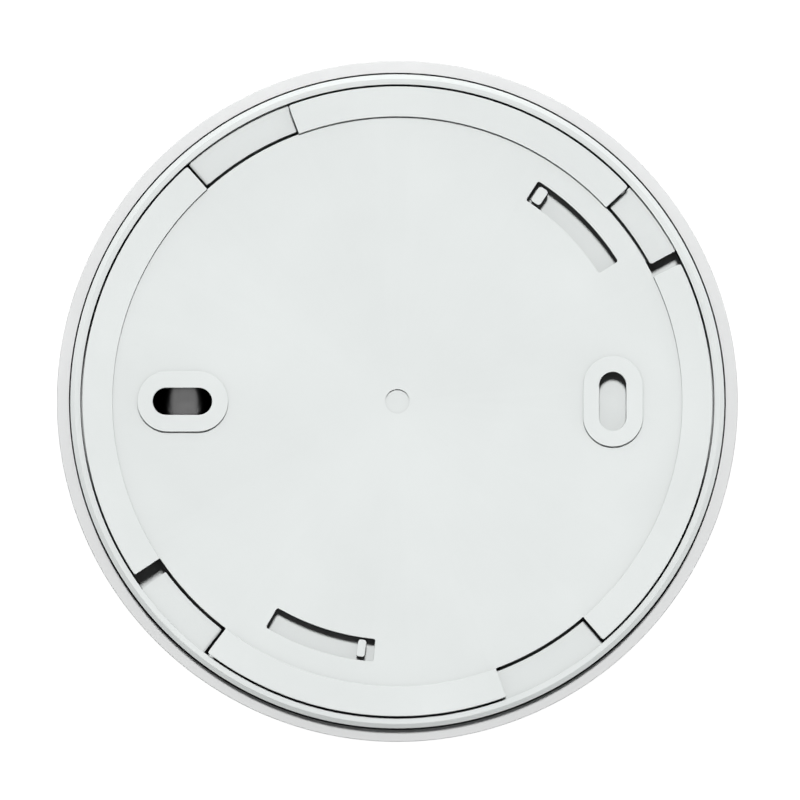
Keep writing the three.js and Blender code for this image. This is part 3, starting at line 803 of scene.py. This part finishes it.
white = linear(230, 234, 233)
cover_tone = linear(229, 230, 230)
milky = {"Subsurface_Weight": 0.35, "Subsurface_Scale": 0.002}
clouded = {"Subsurface_Weight": 0.3, "Subsurface_Scale": 0.001}
finishes = {
    "shell_white": moulded("shell_white_moulding", white, 0.6, painted_crevice_shade=0.16),
    "cover_white": moulded("cover_white_moulding", cover_tone, 0.62, grain=0.1, painted_crevice_shade=0.1),
    "button_grey": moulded("button_grey_moulding", linear(219, 222, 222), 0.36, grain=0.06),
    "black_plastic": moulded(
        "black_moulding", (0.017, 0.017, 0.018), 0.55, grain=0.3, drift=0.2, wear=0.1
    ),
    "clear_white": moulded("light_guide_moulding", linear(240, 240, 234), 0.24, grain=0.03, **milky),
    "led_body": moulded("lamp_moulding", linear(240, 236, 214), 0.22, grain=0.03, **clouded),
    "tinted_lens": moulded(
        "tinted_lens_resin", (0.04, 0.02, 0.075), 0.12, grain=0.03, Coat_Weight=0.5
    ),
    "steel": metal("nickel_plated_steel", (0.60, 0.60, 0.59), 0.24),
    "brass": metal("rolled_brass", (0.72, 0.53, 0.24), 0.28),
    "aluminium": metal("drawn_aluminium", (0.70, 0.71, 0.73), 0.26, (6, 6, 0.2), dull=0.2),
    "board": solder_mask(),
    "ceramic": silvered_ceramic(),
    "battery_wrap": battery_wrap(),
}

# ---- the pieces: name, shape, body, slot and the CAD node that each one replaces ----
PIECES = [
    ("plate_moulding", mounting_plate, "plate", "shell_white", "mounting_plate"),
    ("rear_case_moulding", rear_case, "detector", "shell_white", "rear_case"),
    ("front_cover_moulding", front_cover, "detector", "cover_white", "front_cover"),
    ("light_ring_moulding", light_ring, "detector", "clear_white", "light_ring"),
    ("test_button_cap", test_button, "button", "button_grey", "test_button"),
    ("battery_wrapped_can", battery_can, "detector", "battery_wrap", "battery_can"),
]
for name, shape, body, slot, node in PIECES:
    piece(name, shape(), finishes[slot], body, node)

# The other CAD nodes stay and get their finish.
for part in frame["record"]["subparts"]:
    obj = frame["nodes"][part["node"]]
    obj.data.materials.clear()
    obj.data.materials.append(finishes[part["material_slot"]])


# ---- floor, light and camera ----
def pale_floor():
    """A level floor just below the alarm that glows, so that it stays paper-white."""
    look = Look("pale_floor", 0.6)
    tone = look.ranged(look.noise(0.01, 3.0), 0.3, 0.7, 0.0, 1.0)
    look.colour(look.blend(tone, (0.045, 0.045, 0.045), (0.055, 0.055, 0.055)))
    set_inputs(look.shader, {"Emission Color": (1, 1, 1, 1), "Emission Strength": 1.0})
    reach = 6.0
    z = cad_box[0][2] - 0.1 * MM
    corners = [(-reach, -reach, z), (reach, -reach, z), (reach, reach, z), (-reach, reach, z)]
    mesh = bpy.data.meshes.new("pale_floor")
    mesh.from_pydata(corners, [], [(0, 1, 2, 3)])
    mesh.materials.append(look.material)
    floor = bpy.data.objects.new("pale_floor", mesh)
    scene.collection.objects.link(floor)
    return floor


pale_floor()


def studio():
    """A dim room with a bright horizon and a faint patch of light overhead."""
    world = bpy.data.worlds.new("studio")
    world.use_nodes = True
    nodes, links = world.node_tree.nodes, world.node_tree.links
    nodes.clear()
    direction = nodes.new("ShaderNodeTexCoord")
    split = nodes.new("ShaderNodeSeparateXYZ")
    total = nodes.new("ShaderNodeMath")
    background = nodes.new("ShaderNodeBackground")
    world_out = nodes.new("ShaderNodeOutputWorld")
    links.new(direction.outputs["Generated"], split.inputs[0])
    horizon = {"From Min": 0.04, "From Max": 0.3, "To Min": 0.7, "To Max": 0.02}
    overhead = {"From Min": 0.9, "From Max": 0.945, "To Min": 0, "To Max": 0.03}
    for term, ramp in zip(total.inputs, (horizon, overhead)):
        height = nodes.new("ShaderNodeMapRange")
        height.interpolation_type = "SMOOTHSTEP"
        set_inputs(height, ramp)
        links.new(split.outputs["Z"], height.inputs["Value"])
        links.new(height.outputs[0], term)
    set_inputs(background, {"Color": (0.95, 1.0, 0.985, 1)})
    links.new(total.outputs[0], background.inputs["Strength"])
    links.new(background.outputs[0], world_out.inputs[0])
    return world


def lit_from(name, kind, direction, power, distance=0):
    """A light that shines at the alarm from a direction."""
    light = bpy.data.lights.new(name, kind)
    light.energy = power
    obj = bpy.data.objects.new(name, light)
    scene.collection.objects.link(obj)
    towards = Vector(direction).normalized()
    obj.location = towards * distance
    obj.rotation_mode = "QUATERNION"
    obj.rotation_quaternion = towards.to_track_quat("Z", "Y")
    return obj


def softbox(name, direction, distance, power, size, size_y=None):
    obj = lit_from(name, "AREA", direction, power, distance)
    obj.data.size = size
    if size_y:
        obj.data.shape = "RECTANGLE"
        obj.data.size_y = size_y
    obj.visible_camera = False
    return obj


scene.world = studio()
sun = lit_from("key", "SUN", (0, 0.454, 0.891), 3.17)
sun.data.angle = math.radians(9)
softbox("fill_right", (0.75, -0.66, 0.04), 1.4, 2.4, 0.6)
softbox("fill_left", (-0.95, 0.3, 0.04), 1.4, 1.0, 0.6)
card = softbox("overhead_card", (0, 0, 1), 1.0, 2.8, 1.3, 0.7)  # shows in the battery's wrap
card.visible_diffuse = False

camera_data = bpy.data.cameras.new("camera")
camera_data.lens = 800
camera_data.sensor_width = 36
camera_data.clip_end = 50
camera = bpy.data.objects.new("camera", camera_data)
scene.collection.objects.link(camera)
distance = VIEW_WIDTH * camera_data.lens / camera_data.sensor_width
camera.location = (*AIM, distance + PLATE_TOP)
scene.camera = camera

scene.cycles.diffuse_bounces = 0
scene.view_settings.view_transform = "Standard"
scene.view_settings.look = "None"
scene.view_settings.exposure = 0
scene.view_settings.gamma = 1
